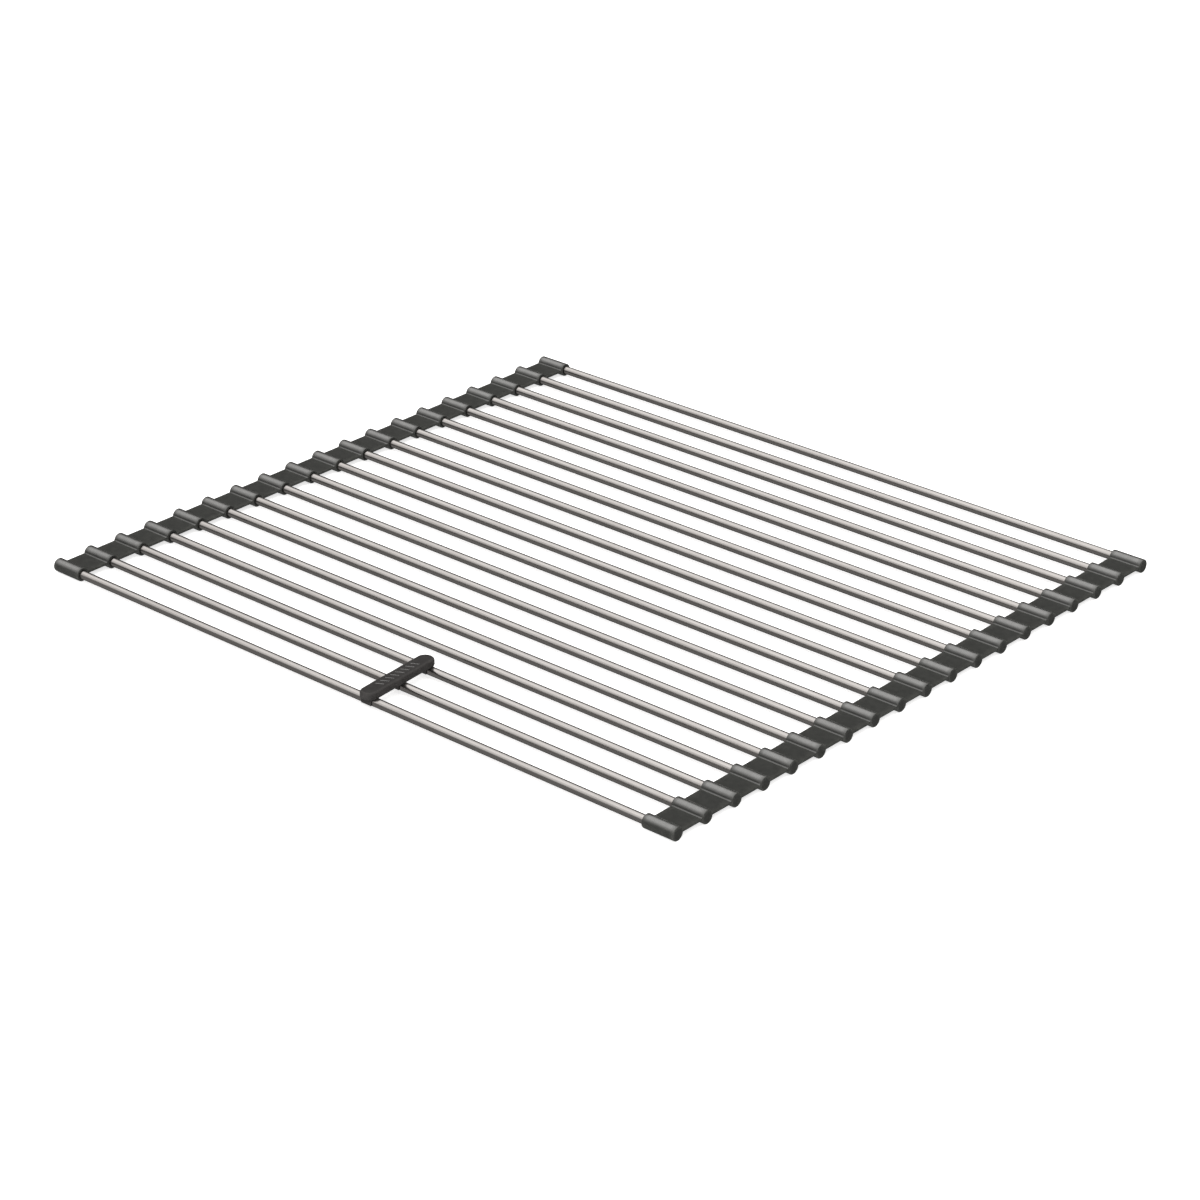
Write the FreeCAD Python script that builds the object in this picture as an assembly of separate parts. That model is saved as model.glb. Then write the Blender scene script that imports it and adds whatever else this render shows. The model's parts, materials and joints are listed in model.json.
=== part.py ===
import FreeCAD, Part
import os
from math import atan2, cos, pi, radians, sin, sqrt

# Roll-up drying rack that lies across a sink: a row of parallel steel tubes whose ends sit in
# soft silicone end strips, and a small silicone label strap clipped over the first tubes.
#
# Millimetres. X runs along the tubes, Y across them and Z up. The origin is the middle of the
# rack on the surface that the sleeves rest on. Tube 1 is the front one, at -Y.

Vector = FreeCAD.Vector
ALONG_X = Vector(1, 0, 0)

# Driving dimensions
TUBE_COUNT = 19
TUBE_PITCH = 22.0
OVERALL_LENGTH = 450.0
TUBE_RADIUS = 2.5
TUBE_WALL = 0.5

SLEEVE_LENGTH = 20.0
SLEEVE_RADIUS = 3.9
SLEEVE_END_WALL = 2.0
SLEEVE_RIM_ROUND = 0.5

WEB_THICKNESS = 1.4
WEB_INSET = 0.5
WEB_ROOT_ROUND = 0.8

STRAP_TUBES = 3
STRAP_LENGTH = 54.6
STRAP_WIDTH = 10.3
STRAP_THICKNESS = 3.9
STRAP_CENTRE_X = 16.1
STRAP_SKEW_DEGREES = 4.7
STRAP_SUNK = 0.4
STRAP_RIM_ROUND = 1.4
STRAP_FOOT_ROUND = 0.5

CLIP_WIDTH = 7.0
CLIP_WALL = 0.7
CLIP_CLEARANCE = 0.05
CLIP_MOUTH = 4.7

RIB_COUNT = 8
RIB_SPACING = 4.0
RIB_LENGTH = 5.2
RIB_WIDTH = 1.0
RIB_HEIGHT = 0.3
RIB_SLANT_DEGREES = 25.0

# Sizes that follow from them
HALF_LENGTH = OVERALL_LENGTH / 2
SLEEVE_MOUTH_X = HALF_LENGTH - SLEEVE_LENGTH
TUBE_END_X = HALF_LENGTH - SLEEVE_END_WALL
TUBE_AXIS_Z = SLEEVE_RADIUS
STRAP_MIDDLE_TUBE = (STRAP_TUBES + 1) // 2
STRAP_UNDERSIDE_Z = TUBE_AXIS_Z + TUBE_RADIUS - STRAP_SUNK
STRAP_TOP_Z = STRAP_UNDERSIDE_Z + STRAP_THICKNESS


def tube_y(number):
    """Y of a tube's axis, with tube 1 at the front."""
    return (number - (TUBE_COUNT + 1) / 2) * TUBE_PITCH


def cylinder_along_x(radius, x_start, x_end, y):
    """A solid cylinder on a tube's axis."""
    start = Vector(x_start, y, TUBE_AXIS_Z)
    return Part.makeCylinder(radius, x_end - x_start, start, ALONG_X)


def steel_tube(number):
    """A hollow tube that runs from blind bore to blind bore."""
    y = tube_y(number)
    outside = cylinder_along_x(TUBE_RADIUS, -TUBE_END_X, TUBE_END_X, y)
    inside = cylinder_along_x(TUBE_RADIUS - TUBE_WALL, -TUBE_END_X, TUBE_END_X, y)
    return outside.cut(inside)


def round_outer_rim(sleeve):
    """Round the rim of the sleeve's closed end, which lies at +X."""
    rims = [edge for edge in sleeve.Edges
            if edge.Closed and abs(edge.CenterOfMass.x - HALF_LENGTH) < 0.01
            and abs(edge.BoundBox.XLength) < 0.01]
    return sleeve.makeFillet(SLEEVE_RIM_ROUND, rims)


def half_web_section(towards):
    """The web's section in Y and Z, seen from the sleeve's axis, with rounded inside corners.

    Each corner is an arc that leaves the web's flat face and meets the sleeve's wall smoothly.
    """
    half = WEB_THICKNESS / 2
    arc_z = half + WEB_ROOT_ROUND
    arc_y = sqrt((SLEEVE_RADIUS + WEB_ROOT_ROUND) ** 2 - arc_z ** 2)
    on_sleeve = SLEEVE_RADIUS / (SLEEVE_RADIUS + WEB_ROOT_ROUND)
    middle = (atan2(-arc_z, -arc_y) - pi / 2) / 2
    arc_middle_y = arc_y + WEB_ROOT_ROUND * cos(middle)
    arc_middle_z = arc_z + WEB_ROOT_ROUND * sin(middle)

    def point(y, z):
        return Vector(0, towards * y, z)

    edges = [Part.LineSegment(point(0, -on_sleeve * arc_z), point(0, on_sleeve * arc_z)),
             Part.LineSegment(point(TUBE_PITCH / 2, -half), point(TUBE_PITCH / 2, half))]
    for side in (-1, 1):
        root = point(on_sleeve * arc_y, side * on_sleeve * arc_z)
        foot = point(arc_y, side * half)
        edges.append(Part.LineSegment(point(0, side * on_sleeve * arc_z), root))
        edges.append(Part.Arc(root, point(arc_middle_y, side * arc_middle_z), foot))
        edges.append(Part.LineSegment(foot, point(TUBE_PITCH / 2, side * half)))
    outline = Part.__sortEdges__([edge.toShape() for edge in edges])
    return Part.Face(Part.Wire(outline))


def half_web(y, towards):
    """The flat web from a sleeve to the hinge line midway to its neighbour."""
    web = half_web_section(towards).extrude(Vector(SLEEVE_LENGTH - 2 * WEB_INSET, 0, 0))
    return web.translated(Vector(SLEEVE_MOUTH_X + WEB_INSET, y, TUBE_AXIS_Z))


def right_sleeve(number):
    """A closed sleeve with the half webs that tie it to its neighbours."""
    y = tube_y(number)
    sleeve = round_outer_rim(cylinder_along_x(SLEEVE_RADIUS, SLEEVE_MOUTH_X, HALF_LENGTH, y))
    if number > 1:
        sleeve = sleeve.fuse(half_web(y, towards=-1))
    if number < TUBE_COUNT:
        sleeve = sleeve.fuse(half_web(y, towards=1))
    bore = cylinder_along_x(TUBE_RADIUS, SLEEVE_MOUTH_X - 1, TUBE_END_X, y)
    return sleeve.cut(bore).removeSplitter()


def left_sleeve(number):
    """The same moulding at the other end of the tube."""
    return right_sleeve(number).mirror(Vector(0, 0, 0), ALONG_X)


def pill_face(length, width, z):
    """A flat face with straight sides and half-round ends, long in Y."""
    half = width / 2
    end = length / 2 - half
    sides = [Part.LineSegment(Vector(half, -end, z), Vector(half, end, z)),
             Part.Arc(Vector(half, end, z), Vector(0, end + half, z), Vector(-half, end, z)),
             Part.LineSegment(Vector(-half, end, z), Vector(-half, -end, z)),
             Part.Arc(Vector(-half, -end, z), Vector(0, -end - half, z), Vector(half, -end, z))]
    return Part.Face(Part.Wire([side.toShape() for side in sides]))


def strap_plate():
    """The long bar of the label strap, with rounded rims, around its own centre."""
    plate = pill_face(STRAP_LENGTH, STRAP_WIDTH, STRAP_UNDERSIDE_Z)
    plate = plate.extrude(Vector(0, 0, STRAP_THICKNESS))
    for rim_z, rim_round in ((STRAP_TOP_Z, STRAP_RIM_ROUND),
                             (STRAP_UNDERSIDE_Z, STRAP_FOOT_ROUND)):
        rim = [edge for edge in plate.Edges
               if max(abs(edge.BoundBox.ZMin - rim_z), abs(edge.BoundBox.ZMax - rim_z)) < 0.01]
        plate = plate.makeFillet(rim_round, rim)
    return plate


def raised_rib(place):
    """One slanted rib of the strap's plain grip pattern, around the strap's own centre."""
    sunk = STRAP_RIM_ROUND
    corner = Vector(-RIB_LENGTH / 2, -RIB_WIDTH / 2, STRAP_TOP_Z - sunk)
    rib = Part.makeBox(RIB_LENGTH, RIB_WIDTH, RIB_HEIGHT + sunk, corner)
    rib.rotate(Vector(0, 0, 0), Vector(0, 0, 1), RIB_SLANT_DEGREES)
    rib.translate(Vector(0, (place - (RIB_COUNT - 1) / 2) * RIB_SPACING, 0))
    return rib


def strap_centre_x(y_from_middle):
    """X of the strap's skewed centre line, measured from its middle tube."""
    skew = radians(STRAP_SKEW_DEGREES)
    return STRAP_CENTRE_X - y_from_middle * sin(skew) / cos(skew)


def clip(number):
    """An open C clip that snaps over one tube from above."""
    y = tube_y(number)
    x = strap_centre_x(y - tube_y(STRAP_MIDDLE_TUBE))
    bore_radius = TUBE_RADIUS + CLIP_CLEARANCE
    outer_radius = bore_radius + CLIP_WALL
    x_start = x - CLIP_WIDTH / 2
    x_end = x + CLIP_WIDTH / 2
    ring = cylinder_along_x(outer_radius, x_start, x_end, y)
    ring = ring.cut(cylinder_along_x(bore_radius, x_start - 1, x_end + 1, y))
    mouth_corner = Vector(x_start - 1, y - CLIP_MOUTH / 2, TUBE_AXIS_Z - outer_radius - 1)
    mouth = Part.makeBox(CLIP_WIDTH + 2, CLIP_MOUTH, outer_radius + 1, mouth_corner)
    return ring.cut(mouth)


def label_strap():
    """The label strap: a skewed bar with ribs on top and a clip under it for each tube."""
    strap = strap_plate()
    for place in range(RIB_COUNT):
        strap = strap.fuse(raised_rib(place))
    strap.rotate(Vector(0, 0, 0), Vector(0, 0, 1), STRAP_SKEW_DEGREES)
    strap.translate(Vector(STRAP_CENTRE_X, tube_y(STRAP_MIDDLE_TUBE), 0))
    for number in range(1, STRAP_TUBES + 1):
        strap = strap.fuse(clip(number))
    for number in range(1, STRAP_TUBES + 1):
        y = tube_y(number)
        bore = cylinder_along_x(TUBE_RADIUS + CLIP_CLEARANCE, -HALF_LENGTH, HALF_LENGTH, y)
        strap = strap.cut(bore)
    return strap.removeSplitter()


def save(name, shape):
    """Write one sub-part, after checking that it is one closed solid."""
    if not shape.isValid() or len(shape.Solids) != 1:
        raise RuntimeError(name + " is not one valid solid")
    shape.Solids[0].exportStep("parts/" + name + ".step")
    print(name, "volume", round(shape.Volume, 1), "mm3")


os.makedirs("parts", exist_ok=True)
for number in range(1, TUBE_COUNT + 1):
    save("tube_%02d" % number, steel_tube(number))
    save("left_sleeve_%02d" % number, left_sleeve(number))
    save("right_sleeve_%02d" % number, right_sleeve(number))
save("label_strap", label_strap())
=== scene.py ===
import json
from math import atan2, cos, hypot, pi, radians, sin, sqrt, tan

import bmesh
import bpy
from mathutils import Matrix, Vector

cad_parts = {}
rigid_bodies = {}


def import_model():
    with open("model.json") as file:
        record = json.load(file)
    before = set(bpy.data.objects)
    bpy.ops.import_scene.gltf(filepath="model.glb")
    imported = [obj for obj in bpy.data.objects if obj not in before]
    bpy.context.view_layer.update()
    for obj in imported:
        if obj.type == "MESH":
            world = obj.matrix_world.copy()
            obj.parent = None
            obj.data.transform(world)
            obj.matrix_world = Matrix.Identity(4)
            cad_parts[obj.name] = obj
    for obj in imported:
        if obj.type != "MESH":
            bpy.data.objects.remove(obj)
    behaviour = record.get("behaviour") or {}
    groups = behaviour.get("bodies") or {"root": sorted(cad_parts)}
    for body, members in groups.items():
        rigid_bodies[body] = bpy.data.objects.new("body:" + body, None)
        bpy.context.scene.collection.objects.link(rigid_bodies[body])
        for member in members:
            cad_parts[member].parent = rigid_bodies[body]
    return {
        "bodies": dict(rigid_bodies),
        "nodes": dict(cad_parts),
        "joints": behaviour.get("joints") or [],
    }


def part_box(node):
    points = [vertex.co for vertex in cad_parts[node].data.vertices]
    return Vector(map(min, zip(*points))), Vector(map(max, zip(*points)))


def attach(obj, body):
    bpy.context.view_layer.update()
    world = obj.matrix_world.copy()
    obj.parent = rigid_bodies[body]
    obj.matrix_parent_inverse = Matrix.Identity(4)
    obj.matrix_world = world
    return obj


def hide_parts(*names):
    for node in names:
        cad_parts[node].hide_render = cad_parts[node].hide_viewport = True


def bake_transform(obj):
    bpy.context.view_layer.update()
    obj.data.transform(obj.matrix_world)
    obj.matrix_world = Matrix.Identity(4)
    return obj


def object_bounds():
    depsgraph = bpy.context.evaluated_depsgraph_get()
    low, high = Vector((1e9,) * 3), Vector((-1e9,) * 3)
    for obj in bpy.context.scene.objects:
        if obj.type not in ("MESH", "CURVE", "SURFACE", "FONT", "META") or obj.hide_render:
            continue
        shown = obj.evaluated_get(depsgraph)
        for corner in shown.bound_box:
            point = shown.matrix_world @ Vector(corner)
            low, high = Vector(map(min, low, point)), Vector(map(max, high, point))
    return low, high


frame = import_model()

# Roll-up drying rack: the CAD tubes keep their shape and get brushed steel. The silicone end
# strips and the label strap are replaced by moulded pieces; the sleeves and clips ride their
# links.
# Everything is in metres, and MM turns millimetres into them.

MM = 0.001
cad_box = [list(corner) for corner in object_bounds()]


# ---------------------------------------------------------------- sizes read from the frame

LINKS = len(frame["bodies"])
HINGES = {joint["name"]: joint for joint in frame["joints"]}


def tube_axis(number):
    """(y, z) of a tube's axis and its radius."""
    low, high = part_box("tube_%02d" % number)
    return (low.y + high.y) / 2, (low.z + high.z) / 2, (high.z - low.z) / 2


FIRST_Y, TUBE_Z, TUBE_RADIUS = tube_axis(1)
PITCH = tube_axis(2)[0] - FIRST_Y
sleeve_low, sleeve_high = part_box("right_sleeve_01")
SLEEVE_MOUTH_X = sleeve_low.x
SLEEVE_END_X = sleeve_high.x
SLEEVE_RADIUS = (sleeve_high.z - sleeve_low.z) / 2
HINGE_Z = HINGES["roll_hinge_01"]["pos_m"][2]
STRAP_LOW, STRAP_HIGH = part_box("label_strap")

# Sizes of the moulded detail. A gloss is a share of the full polish.
RIM_ROUND = 0.5 * MM
MOUTH_ROUND = 0.35 * MM
MOUTH_GAP = 0.06 * MM
MOUTH_DEPTH = 1.5 * MM
END_DISH = 0.12 * MM
END_DISH_RADIUS = 2.6 * MM
WEB_HALF = HINGE_Z - TUBE_Z
WEB_ROOT_ROUND = 0.8 * MM
WEB_INSET = 0.42 * MM
WEB_EDGE_ROUND = 0.16 * MM
WEB_BURIED = 0.5 * MM
WEB_LEAST_HALF = 0.2 * MM
ROOT_MARGIN = 0.05 * MM
ROOT_GLOSS = 0.45
STRAP_SKEW = radians(4.7)
STRAP_LENGTH = 54.6 * MM
STRAP_WIDTH = 10.3 * MM
STRAP_THICKNESS = 3.9 * MM
STRAP_RIM_ROUND = 1.4 * MM
STRAP_FOOT_ROUND = 0.5 * MM
RIB_COUNT = 8
RIB_SPACING = 4.0 * MM
RIB_LENGTH = 5.2 * MM
RIB_WIDTH = 1.0 * MM
RIB_HEIGHT = 0.3 * MM
RIB_SLANT = radians(25)
RIB_GLOSS = 1.0
RIB_SUNK = 0.4 * MM
RIB_RIM_ROUND = 0.25 * MM
RIB_FOOT_ROUND = 0.1 * MM
RIB_PARTS = 8
CLIP_WIDTH = 7.0 * MM
CLIP_INNER = 2.53 * MM
CLIP_OUTER = 3.25 * MM
CLIP_HALF_MOUTH = radians(67)
CLIP_EDGE_ROUND = 0.15 * MM
CLIP_ARC_STEPS = 36
CLIP_LIP_STEPS = 6
# The polish grows between these two heights, as shares of the distance from the sleeve's axis
HANDLED_FROM = 0.42
HANDLED_TO = 0.86
HANDLED_FADE = 1.4 * MM
FLANK_GLOSS = 0.2
SHARP_DEGREES = 42


# ---------------------------------------------------------------- materials

def shader_material(name):
    """A new node material and a function that adds a node with its inputs set."""
    material = bpy.data.materials.new(name)
    material.use_nodes = True
    tree = material.node_tree

    def add(kind, settings=None, **inputs):
        node = tree.nodes.new(kind)
        for key, value in (settings or {}).items():
            setattr(node, key, value)
        for key, value in inputs.items():
            socket = node.inputs[key.replace("_", " ")]
            if isinstance(value, bpy.types.NodeSocket):
                tree.links.new(value, socket)
            else:
                socket.default_value = value
        return node

    return material, add, tree.nodes["Principled BSDF"]


def object_noise(add, scale, stretch=(1, 1, 1), detail=3.0):
    """Noise in the object's own space, stretched along its axes."""
    place = add("ShaderNodeTexCoord").outputs["Object"]
    mapped = add("ShaderNodeMapping", Vector=place, Scale=stretch)
    noise = add("ShaderNodeTexNoise", Vector=mapped.outputs["Vector"], Scale=scale,
                Detail=detail, Roughness=0.6)
    return noise.outputs["Fac"]


def spread(add, value, low, high, start=0.3, end=0.7):
    """value from start to end, mapped to low to high."""
    return add("ShaderNodeMapRange", Value=value, From_Min=start, From_Max=end,
               To_Min=low, To_Max=high).outputs["Result"]


def mixed_colour(add, factor, low, high):
    """A colour between two, by a factor."""
    mix = add("ShaderNodeMix", {"data_type": "RGBA"})
    mix.inputs[6].default_value = (*low, 1)
    mix.inputs[7].default_value = (*high, 1)
    factor.node.id_data.links.new(factor, mix.inputs[0])
    return mix.outputs[2]


def product(add, first, second):
    """Two outputs multiplied."""
    node = add("ShaderNodeMath", {"operation": "MULTIPLY"})
    link(first, node.inputs[0])
    link(second, node.inputs[1])
    return node.outputs[0]


def link(source, socket):
    """Joins an output to an input of the same tree."""
    source.node.id_data.links.new(source, socket)


def brushed_steel():
    """Stainless tube: fine lengthwise brushing, broad soft stains and a few dull patches."""
    material, add, shader = shader_material("brushed_steel_tube")
    shader.inputs["Metallic"].default_value = 1.0
    shader.inputs["Anisotropic"].default_value = 0.35
    streaks = object_noise(add, 1.0, (14, 2600, 2600), 4.0)
    fine = object_noise(add, 1.0, (60, 7000, 7000), 2.0)
    stains = object_noise(add, 38.0, (1, 1.6, 1.6), 3.0)
    tone = mixed_colour(add, spread(add, streaks, 0, 1), (0.39, 0.372, 0.362), (0.50, 0.482, 0.47))
    stained = add("ShaderNodeMix", {"data_type": "RGBA", "blend_type": "MULTIPLY"})
    link(spread(add, stains, 0.0, 0.35, 0.5, 0.8), stained.inputs[0])
    link(tone, stained.inputs[6])
    stained.inputs[7].default_value = (0.80, 0.78, 0.77, 1)
    link(stained.outputs[2], shader.inputs["Base Color"])
    grain = add("ShaderNodeMath", {"operation": "ADD"})
    link(spread(add, fine, 0.12, 0.23), grain.inputs[0])
    link(spread(add, stains, 0.0, 0.08, 0.45, 0.75), grain.inputs[1])
    link(grain.outputs[0], shader.inputs["Roughness"])
    bump = add("ShaderNodeBump", Height=streaks, Strength=0.35, Distance=0.00002)
    link(bump.outputs["Normal"], shader.inputs["Normal"])
    return material


def silicone(name, dark, light):
    """Moulded silicone with mottled tone, a fine tooth and rubbed, paler edges.

    It is matt, with a polish over it where the gloss attribute says that it has been rubbed.
    """
    material, add, shader = shader_material(name)
    shader.inputs["IOR"].default_value = 1.42
    shader.inputs["Specular IOR Level"].default_value = 0.25
    shader.inputs["Coat IOR"].default_value = 2.5
    shader.inputs["Coat Roughness"].default_value = 0.27
    shader.inputs["Sheen Weight"].default_value = 0.04
    shader.inputs["Sheen Roughness"].default_value = 0.4
    mottle = object_noise(add, 240.0, detail=4.0)
    tooth = object_noise(add, 2400.0, detail=3.0)
    tone = mixed_colour(add, spread(add, mottle, 0, 1), dark, light)
    worn = add("ShaderNodeMix", {"data_type": "RGBA"})
    wear = add("ShaderNodeAttribute", {"attribute_name": "wear"}).outputs["Fac"]
    link(product(add, wear, spread(add, mottle, 0.25, 0.95)), worn.inputs[0])
    link(tone, worn.inputs[6])
    worn.inputs[7].default_value = (*[channel * 2.2 for channel in light], 1)
    link(worn.outputs[2], shader.inputs["Base Color"])
    gloss = add("ShaderNodeAttribute", {"attribute_name": "gloss"}).outputs["Fac"]
    link(product(add, gloss, spread(add, mottle, 0.88, 1.0)), shader.inputs["Coat Weight"])
    link(spread(add, tooth, 0.46, 0.62), shader.inputs["Roughness"])
    bump = add("ShaderNodeBump", Height=tooth, Strength=0.3, Distance=0.00003)
    link(bump.outputs["Normal"], shader.inputs["Normal"])
    return material


# ---------------------------------------------------------------- mesh helpers

def mesh_piece(name, points, faces, material, wear=None, gloss=None, cut=None):
    """A shown piece from points and faces.

    wear and gloss are one number per point. cut is a plane, as a point and the direction to
    take away, and the cut is closed again.
    """
    data = bpy.data.meshes.new(name)
    data.from_pydata([tuple(point) for point in points], [], faces)
    for attribute, values in (("wear", wear), ("gloss", gloss)):
        layer = data.attributes.new(attribute, "FLOAT", "POINT")
        layer.data.foreach_set("value", values or [0.0] * len(points))
    shape = bmesh.new()
    shape.from_mesh(data)
    if cut:
        everything = shape.verts[:] + shape.edges[:] + shape.faces[:]
        rim = bmesh.ops.bisect_plane(shape, geom=everything, plane_co=cut[0], plane_no=cut[1],
                                     clear_outer=True)["geom_cut"]
        edges = [item for item in rim if isinstance(item, bmesh.types.BMEdge)]
        bmesh.ops.holes_fill(shape, edges=edges, sides=0)
    bmesh.ops.recalc_face_normals(shape, faces=shape.faces)
    shape.to_mesh(data)
    shape.free()
    piece = bpy.data.objects.new(name, data)
    bpy.context.scene.collection.objects.link(piece)
    data.materials.append(material)
    data.shade_smooth()
    data.set_sharp_from_angle(angle=radians(SHARP_DEGREES))
    return piece


def loft(rings):
    """Faces between closed rings of one point count, which are numbered ring after ring."""
    count = len(rings[0])
    faces = []
    for ring in range(len(rings) - 1):
        for step in range(count):
            here, there = ring * count, (ring + 1) * count
            following = (step + 1) % count
            faces.append((here + step, here + following, there + following, there + step))
    return faces


def arc(centre, radius, start, end, steps):
    """Points along an arc in a plane, ends included."""
    angles = [start + (end - start) * step / steps for step in range(steps + 1)]
    return [(centre[0] + radius * cos(angle), centre[1] + radius * sin(angle))
            for angle in angles]


# ---------------------------------------------------------------- sleeves

SLEEVE_SIDES = 56


def sleeve_profile():
    """(x, radius, wear) from the dished closed end, over the rim and the wall, into the mouth."""
    end, mouth, wall = SLEEVE_END_X, SLEEVE_MOUTH_X, SLEEVE_RADIUS
    bore = TUBE_RADIUS + MOUTH_GAP
    profile = [(end - END_DISH, END_DISH_RADIUS * part, 0.0) for part in (0.0, 0.45, 0.9)]
    profile.append((end - END_DISH * 0.4, END_DISH_RADIUS, 0.15))
    profile.append((end, END_DISH_RADIUS + 0.2 * MM, 0.2))
    rim_centre = (end - RIM_ROUND, wall - RIM_ROUND)
    profile += [(x, r, 0.55) for x, r in arc(rim_centre, RIM_ROUND, 0, pi / 2, 5)]
    wall_parts = 8
    for part in range(1, wall_parts):
        x = end - RIM_ROUND + (mouth + MOUTH_ROUND - end + RIM_ROUND) * part / wall_parts
        profile.append((x, wall, 0.0))
    mouth_centre = (mouth + MOUTH_ROUND, wall - MOUTH_ROUND)
    profile += [(x, r, 0.45) for x, r in arc(mouth_centre, MOUTH_ROUND, pi / 2, pi, 4)]
    lip_centre = (mouth + MOUTH_ROUND * 0.6, bore + MOUTH_ROUND * 0.6)
    profile += [(x, r, 0.2) for x, r in arc(lip_centre, MOUTH_ROUND * 0.6, pi, 1.5 * pi, 3)]
    profile.append((mouth + MOUTH_DEPTH, bore, 0.0))
    profile.append((mouth + MOUTH_DEPTH, 0.0, 0.0))
    return profile


def handled_gloss(x, y, z):
    """Gloss at a place on a sleeve: hands and dishes have rubbed its top smooth, but not its
    ends. x is the distance from the rack's middle, and y and z are from the sleeve's axis."""
    reach = hypot(y, z)
    if reach < END_DISH_RADIUS + 0.3 * MM:
        return 0.0
    rubbed = min(max((z / reach - HANDLED_FROM) / (HANDLED_TO - HANDLED_FROM), 0.0), 1.0)
    from_end = min(x - SLEEVE_MOUTH_X, SLEEVE_END_X - x)
    inward = min(max(from_end / HANDLED_FADE, 0.0), 1.0)
    return FLANK_GLOSS + (1 - FLANK_GLOSS) * inward * rubbed * rubbed * (3 - 2 * rubbed)


def sleeve(side, number, material):
    """One closed sleeve, turned round the tube's axis. side is 1 at +X and -1 at -X."""
    y, z, _ = tube_axis(number)
    profile = sleeve_profile()
    points, wear, rings = [], [], []
    for x, radius, rubbed in profile:
        if radius == 0.0:
            ring = [(side * x, y, z)]
        else:
            turns = [2 * pi * step / SLEEVE_SIDES for step in range(SLEEVE_SIDES)]
            ring = [(side * x, y + radius * cos(turn), z + radius * sin(turn))
                    for turn in turns]
        rings.append(range(len(points), len(points) + len(ring)))
        points += ring
        wear += [rubbed] * len(ring)
    faces = []
    for near, far in zip(rings, rings[1:]):
        for step in range(SLEEVE_SIDES):
            following = (step + 1) % SLEEVE_SIDES
            if len(near) == 1:
                faces.append((near[0], far[following], far[step]))
            elif len(far) == 1:
                faces.append((near[step], near[following], far[0]))
            else:
                faces.append((near[step], near[following], far[following], far[step]))
    gloss = [handled_gloss(abs(px), py - y, pz - z) for px, py, pz in points]
    name = ("right" if side > 0 else "left") + "_sleeve_skin_%02d" % number
    piece = mesh_piece(name, points, faces, material, wear, gloss)
    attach(piece, "link_%02d" % number)
    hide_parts(name.replace("_skin", ""))


# ---------------------------------------------------------------- webs

WEB_SPANS = 18
WEB_ROOT_STEPS = 6
WEB_LENGTH_PARTS = 6


def web_root():
    """Where the rounded web root leaves the sleeve and meets the web, from the sleeve's axis."""
    arc_z = WEB_HALF + WEB_ROOT_ROUND
    arc_y = sqrt((SLEEVE_RADIUS + WEB_ROOT_ROUND) ** 2 - arc_z ** 2)
    return arc_y, arc_z


def web_outline(shrink):
    """The web's closed section between two sleeves, from the first one's axis, as (y, z).

    It ends inside both sleeves. shrink draws the faces in, for the rounded long edges.
    """
    arc_y, arc_z = web_root()
    tilt = atan2(arc_z, arc_y)
    buried = (SLEEVE_RADIUS - WEB_BURIED) * cos(tilt)
    radius = WEB_ROOT_ROUND + shrink
    root = arc((arc_y, arc_z), radius, -pi + tilt, -pi / 2, WEB_ROOT_STEPS)
    inner_z = max(root[0][1] - WEB_BURIED * sin(tilt), WEB_LEAST_HALF)
    top = [(buried, inner_z)] + root
    flat = PITCH - 2 * arc_y
    for span in range(1, WEB_SPANS):
        top.append((arc_y + flat * span / WEB_SPANS, WEB_HALF - shrink))
    top += [(PITCH - y, z) for y, z in reversed(root)] + [(PITCH - buried, inner_z)]
    return top + [(y, -z) for y, z in reversed(top)]


def web(side, number, material):
    """The web between link number and the next."""
    y, z, _ = tube_axis(number)
    start, end = SLEEVE_MOUTH_X + WEB_INSET, SLEEVE_END_X - WEB_INSET
    edge = WEB_EDGE_ROUND
    steps = [(start, edge, 0.5), (start + 0.3 * edge, edge * 0.3, 0.5)]
    for part in range(WEB_LENGTH_PARTS + 1):
        x = start + edge + (end - start - 2 * edge) * part / WEB_LENGTH_PARTS
        steps.append((x, 0.0, 0.35 if part in (0, WEB_LENGTH_PARTS) else 0.0))
    steps += [(end - 0.3 * edge, edge * 0.3, 0.5), (end, edge, 0.5)]
    rings, wear = [], []
    for x, shrink, rubbed in steps:
        ring = [(side * x, y + along, z + up) for along, up in web_outline(shrink)]
        rings.append(ring)
        wear += [rubbed] * len(ring)
    faces = loft(rings)
    count = len(rings[0])
    for base in (0, (len(rings) - 1) * count):
        for step in range(count // 2 - 1):
            faces.append((base + step, base + step + 1,
                          base + count - 2 - step, base + count - 1 - step))
    points = [point for ring in rings for point in ring]
    arc_y, _ = web_root()
    flat_from = y + arc_y - ROOT_MARGIN
    flat_to = y + PITCH - arc_y + ROOT_MARGIN
    gloss = [0.0 if flat_from < point[1] < flat_to else ROOT_GLOSS for point in points]
    name = ("right" if side > 0 else "left") + "_web_%02d" % number
    piece = mesh_piece(name, points, faces, material, wear, gloss)
    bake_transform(piece)


# ---------------------------------------------------------------- label strap

STRAP_LINKS = 3
STRAIGHT_PARTS = 44
ROUND_PARTS = 16
STRAP_MIDDLE_Y = tube_axis(2)[0]
STRAP_CENTRE_X = (STRAP_LOW.x + STRAP_HIGH.x) / 2
STRAP_RIB_TOP_Z = STRAP_HIGH.z
STRAP_TOP_Z = STRAP_RIB_TOP_Z - RIB_HEIGHT
STRAP_UNDER_Z = STRAP_TOP_Z - STRAP_THICKNESS


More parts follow.
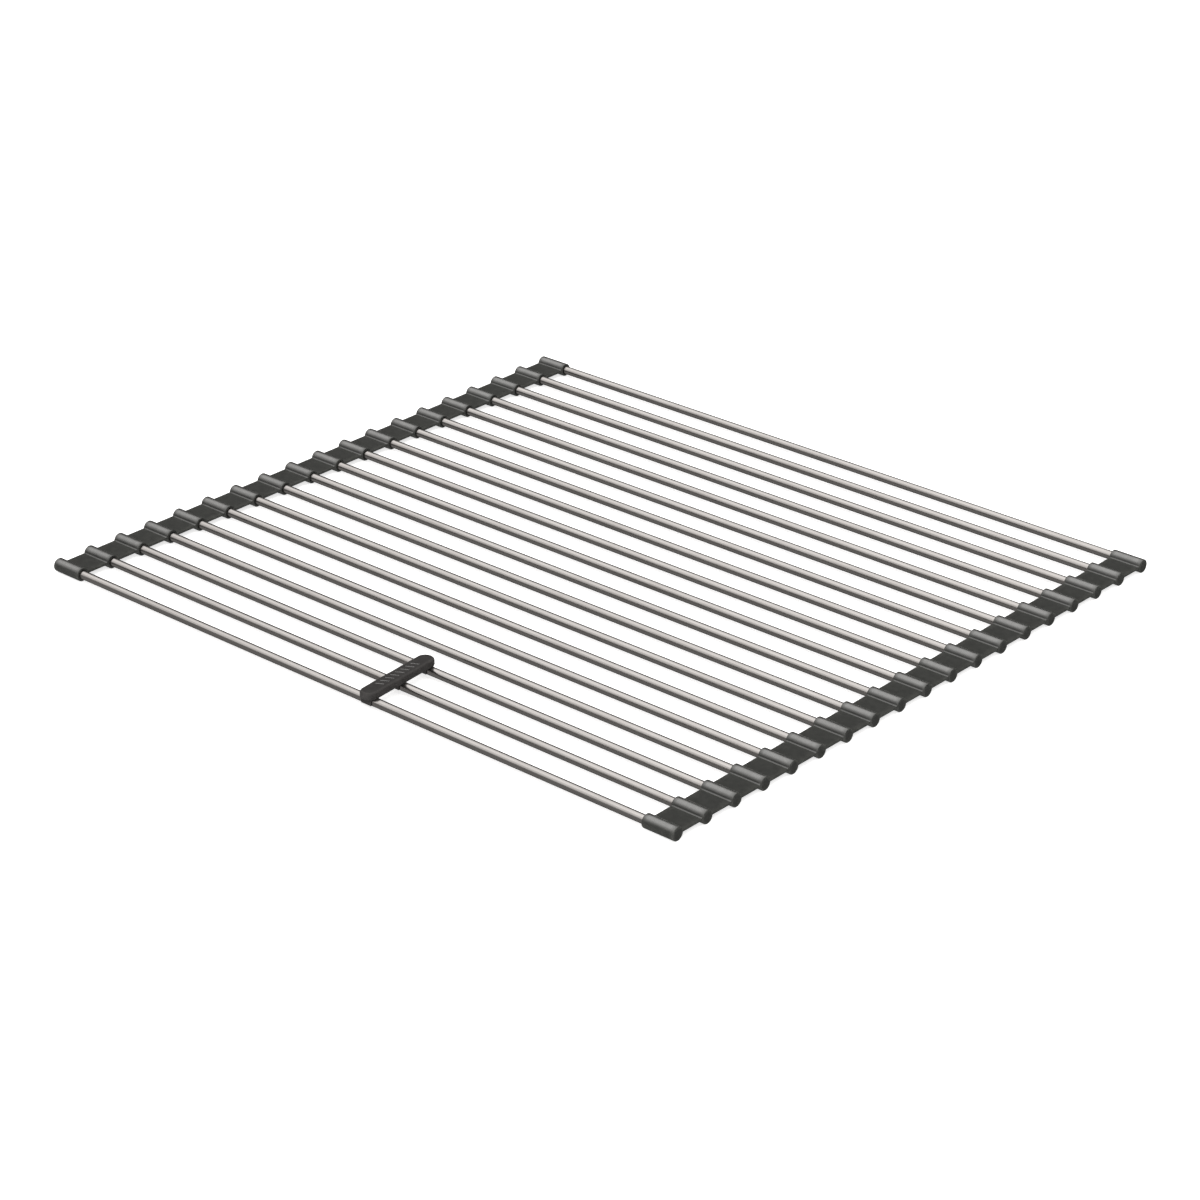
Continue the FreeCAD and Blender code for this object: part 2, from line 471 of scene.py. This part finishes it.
def pill_ring(length, width, inset, z, straight, rounded):
    """One ring of a pill outline, long in Y, drawn in by inset."""
    half = width / 2 - inset
    end = (length - width) / 2
    ring = [(half, -end + 2 * end * part / straight, z) for part in range(straight)]
    ring += [(half * cos(turn), end + half * sin(turn), z)
             for turn in [pi * part / rounded for part in range(rounded)]]
    ring += [(-half, end - 2 * end * part / straight, z) for part in range(straight)]
    ring += [(-half * cos(turn), -end - half * sin(turn), z)
             for turn in [pi * part / rounded for part in range(rounded)]]
    return ring


def pill_solid(length, width, low, high, rim, foot, straight, rounded):
    """(points, faces, wear) of a pill-shaped plate with a rounded top rim and foot.

    The flat top's first ring is drawn in by 0.16 of the width. On a rib that is less than its
    rim round, so a rib's top folds back over itself there, 0.09 mm wide.
    """
    sections = [(width * 0.42, low, 0.0), (width * 0.25, low, 0.0), (foot, low, 0.1)]
    sections += [(foot - foot * sin(turn), low + foot - foot * cos(turn), 0.2)
                 for turn in (pi / 4, pi / 2)]
    sections += [(rim - rim * cos(turn), high - rim + rim * sin(turn), 0.4)
                 for turn in [pi / 2 * part / 5 for part in range(6)]]
    sections += [(width * 0.16, high, 0.05), (width * 0.25, high, 0.0), (width * 0.42, high, 0.0)]
    rings = [pill_ring(length, width, inset, z, straight, rounded) for inset, z, _ in sections]
    points = [point for ring in rings for point in ring]
    wear = [rubbed for ring, (_, _, rubbed) in zip(rings, sections) for _ in ring]
    faces = loft(rings)
    count = len(rings[0])
    for base in (0, (len(rings) - 1) * count):
        for part in range(straight):
            far = base + (straight + rounded + straight - part) % count
            further = base + (straight + rounded + straight - part - 1) % count
            faces.append((base + part, base + part + 1, further, far))
        for first in (straight, 2 * straight + rounded):
            ring = [base + (first + part) % count for part in range(rounded + 1)]
            faces += [(ring[0], ring[part], ring[part + 1]) for part in range(1, rounded)]
    return points, faces, wear


def strap_shells():
    """The strap's plate and its slanted ribs, in the row frame, as one set of points and faces."""
    shells = [(pill_solid(STRAP_LENGTH, STRAP_WIDTH, STRAP_UNDER_Z, STRAP_TOP_Z,
                          STRAP_RIM_ROUND, STRAP_FOOT_ROUND, STRAIGHT_PARTS, ROUND_PARTS),
               Matrix.Identity(4))]
    for place in range(RIB_COUNT):
        along = (place - (RIB_COUNT - 1) / 2) * RIB_SPACING
        rib = pill_solid(RIB_LENGTH, RIB_WIDTH, STRAP_TOP_Z - RIB_SUNK, STRAP_RIB_TOP_Z,
                         RIB_RIM_ROUND, RIB_FOOT_ROUND, RIB_PARTS, RIB_PARTS)
        turn = Matrix.Rotation(pi / 2 + RIB_SLANT, 4, "Z")
        shells.append((rib, Matrix.Translation((0, along, 0)) @ turn))
    place = Matrix.Translation((STRAP_CENTRE_X, STRAP_MIDDLE_Y, 0))
    place = place @ Matrix.Rotation(STRAP_SKEW, 4, "Z")
    points, faces, wear, gloss = [], [], [], []
    for (own_points, own_faces, own_wear), own_place in shells:
        own_gloss = 0.0 if not points else RIB_GLOSS
        start = len(points)
        points += [place @ own_place @ Vector(point) for point in own_points]
        faces += [tuple(start + index for index in face) for face in own_faces]
        wear += own_wear
        gloss += [own_gloss] * len(own_points)
    return points, faces, wear, gloss


def strap_half(name, towards, material):
    """The strap on one side of its middle tube, closed at the cut."""
    points, faces, wear, gloss = strap_shells()
    cut = ((0, STRAP_MIDDLE_Y, 0), (0, -towards, 0))
    piece = mesh_piece(name, points, faces, material, wear, gloss, cut)
    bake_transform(piece)
    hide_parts("label_strap")


def clip_ring(x, y, z, shrink):
    """The open ring of a C clip's section at x, drawn in by shrink."""
    start = -pi / 2 + CLIP_HALF_MOUTH
    end = 1.5 * pi - CLIP_HALF_MOUTH
    outer = arc((y, z), CLIP_OUTER - shrink, start, end, CLIP_ARC_STEPS)
    inner = arc((y, z), CLIP_INNER + shrink, end, start, CLIP_ARC_STEPS)
    middle = (CLIP_OUTER + CLIP_INNER) / 2
    lip = (CLIP_OUTER - CLIP_INNER) / 2 - shrink
    left = (y + middle * cos(end), z + middle * sin(end))
    right = (y + middle * cos(start), z + middle * sin(start))
    left_lip = arc(left, lip, end, end + pi, CLIP_LIP_STEPS)[1:-1]
    right_lip = arc(right, lip, start + pi, start + 2 * pi, CLIP_LIP_STEPS)[1:-1]
    return [(x, *place) for place in outer + left_lip + inner + right_lip]


def strap_clip(number, material):
    """The C clip that holds the strap on one tube."""
    y, z, _ = tube_axis(number)
    centre = STRAP_CENTRE_X - (y - STRAP_MIDDLE_Y) * tan(STRAP_SKEW)
    half = CLIP_WIDTH / 2
    edge = CLIP_EDGE_ROUND
    steps = [(-half, edge, 0.4), (-half + edge * 0.3, edge * 0.3, 0.4), (-half + edge, 0, 0.2)]
    steps += [(half * part / 4, 0, 0.0) for part in range(-3, 4)]
    steps += [(half - edge, 0, 0.2), (half - edge * 0.3, edge * 0.3, 0.4), (half, edge, 0.4)]
    rings = [clip_ring(centre + x, y, z, shrink) for x, shrink, _ in steps]
    points = [point for ring in rings for point in ring]
    wear = [rubbed for ring, (_, _, rubbed) in zip(rings, steps) for _ in ring]
    faces = loft(rings)
    count = len(rings[0])
    lips = CLIP_LIP_STEPS - 1
    for base in (0, (len(rings) - 1) * count):
        arcs = (count - 2 * lips) // 2
        for step in range(arcs - 1):
            other = arcs + lips + arcs - 1 - step
            faces.append((base + step, base + step + 1, base + other - 1, base + other))
        faces.append(tuple(base + index % count for index in range(arcs - 1, arcs + lips + 1)))
        faces.append(tuple(base + index % count for index in range(count - lips - 1, count + 1)))
    piece = mesh_piece("strap_clip_%02d" % number, points, faces, material,
                       wear)
    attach(piece, "link_%02d" % number)


# ---------------------------------------------------------------- building the object

steel = brushed_steel()
strip_silicone = silicone("strip_silicone_skin", (0.025, 0.026, 0.024), (0.037, 0.038, 0.035))
strap_silicone = silicone("strap_silicone_skin", (0.027, 0.025, 0.025), (0.038, 0.036, 0.035))

for number in range(1, LINKS + 1):
    tube = frame["nodes"]["tube_%02d" % number]
    tube.data.materials.clear()
    tube.data.materials.append(steel)
    for side in (-1, 1):
        sleeve(side, number, strip_silicone)
        if number < LINKS:
            web(side, number, strip_silicone)

strap_half("strap_front", -1, strap_silicone)
strap_half("strap_back", 1, strap_silicone)
for number in range(1, STRAP_LINKS + 1):
    strap_clip(number, strap_silicone)


# ---------------------------------------------------------------- floor, light and camera

FLOOR_SIZE = 60.0
CEILING_TILT = radians(13)
CEILING_EDGE = (0.38, 0.52)
CEILING = (1.08, 1.06, 1.04)
OVERHEAD_EDGE = (0.58, 0.80)
OVERHEAD = (1.62, 1.60, 1.57)
ROOM_IN_FRONT = (0.24, 0.235, 0.23)
ROOM_BEHIND = (0.045, 0.044, 0.043)
ROOM_EDGE = (-0.25, 0.25)
BACKDROP = (1.0, 1.0, 1.0)
SENSOR_WIDTH = 36.0
VIEW_REACH = 200.0

CAMERA_AZIMUTH = radians(41.6)
CAMERA_ELEVATION = radians(26.06)
CAMERA_DISTANCE = 1.8965
CAMERA_LENS = 104.56
AIM_NEARER = 35.7 * MM
AIM_LEFT = 0.4 * MM


def pale_floor():
    """A wide plain floor at the height that the rack rests on."""
    bpy.ops.mesh.primitive_plane_add(size=FLOOR_SIZE, location=(0, 0, cad_box[0][2]))
    floor = bpy.context.object
    floor.name = "floor"
    material, add, shader = shader_material("pale_floor")
    shader.inputs["Base Color"].default_value = (0.9, 0.9, 0.9, 1)
    shader.inputs["Emission Color"].default_value = (1, 1, 1, 1)
    shader.inputs["Emission Strength"].default_value = 0.7
    shader.inputs["Roughness"].default_value = 0.9
    shader.inputs["Specular IOR Level"].default_value = 0.0
    floor.data.materials.append(material)
    floor.visible_glossy = False


def soft_studio_light():
    """A wide soft ceiling tilted to the camera, a dim room with a dark flag behind the rack,
    and a pale backdrop that only the camera sees."""
    world = bpy.data.worlds.new("studio")
    bpy.context.scene.world = world
    world.use_nodes = True
    nodes, links = world.node_tree.nodes, world.node_tree.links
    direction = nodes.new("ShaderNodeTexCoord").outputs["Generated"]

    def height(axis, edge):
        """0 to 1 across an edge, measured along an axis."""
        along = nodes.new("ShaderNodeVectorMath")
        along.operation = "DOT_PRODUCT"
        along.inputs[1].default_value = axis
        links.new(direction, along.inputs[0])
        ramp = nodes.new("ShaderNodeMapRange")
        ramp.interpolation_type = "SMOOTHSTEP"
        ramp.inputs["From Min"].default_value = edge[0]
        ramp.inputs["From Max"].default_value = edge[1]
        links.new(along.outputs["Value"], ramp.inputs["Value"])
        return ramp.outputs["Result"]

    def blended(factor, low, high):
        """A colour between two colours or outputs."""
        mix = nodes.new("ShaderNodeMix")
        mix.data_type = "RGBA"
        links.new(factor, mix.inputs[0])
        for socket, colour in ((mix.inputs[6], low), (mix.inputs[7], high)):
            if isinstance(colour, tuple):
                socket.default_value = (*colour, 1)
            else:
                links.new(colour, socket)
        return mix.outputs[2]

    tilted = (0, -sin(CEILING_TILT), cos(CEILING_TILT))
    ceiling = blended(height((0, 0, 1), OVERHEAD_EDGE), CEILING, OVERHEAD)
    room = blended(height((0, 1, 0), ROOM_EDGE), ROOM_IN_FRONT, ROOM_BEHIND)
    around = blended(height(tilted, CEILING_EDGE), room, ceiling)
    seen = nodes.new("ShaderNodeLightPath").outputs["Is Camera Ray"]
    links.new(blended(seen, around, BACKDROP), nodes["Background"].inputs["Color"])


def photo_camera():
    """A long lens at the front right, looking down at a point just in front of the middle."""
    level = Vector((sin(CAMERA_AZIMUTH), -cos(CAMERA_AZIMUTH), 0))
    left = Vector((-cos(CAMERA_AZIMUTH), -sin(CAMERA_AZIMUTH), 0))
    aim = level * AIM_NEARER + left * AIM_LEFT
    back = level * cos(CAMERA_ELEVATION) + Vector((0, 0, sin(CAMERA_ELEVATION)))
    data = bpy.data.cameras.new("camera")
    data.lens = CAMERA_LENS
    data.sensor_width = SENSOR_WIDTH
    data.clip_end = VIEW_REACH
    camera = bpy.data.objects.new("camera", data)
    bpy.context.scene.collection.objects.link(camera)
    camera.location = aim + back * CAMERA_DISTANCE
    camera.rotation_mode = "QUATERNION"
    camera.rotation_quaternion = (-back).to_track_quat("-Z", "Y")
    bpy.context.scene.camera = camera


pale_floor()
soft_studio_light()
photo_camera()
bpy.context.scene.view_settings.view_transform = "Standard"
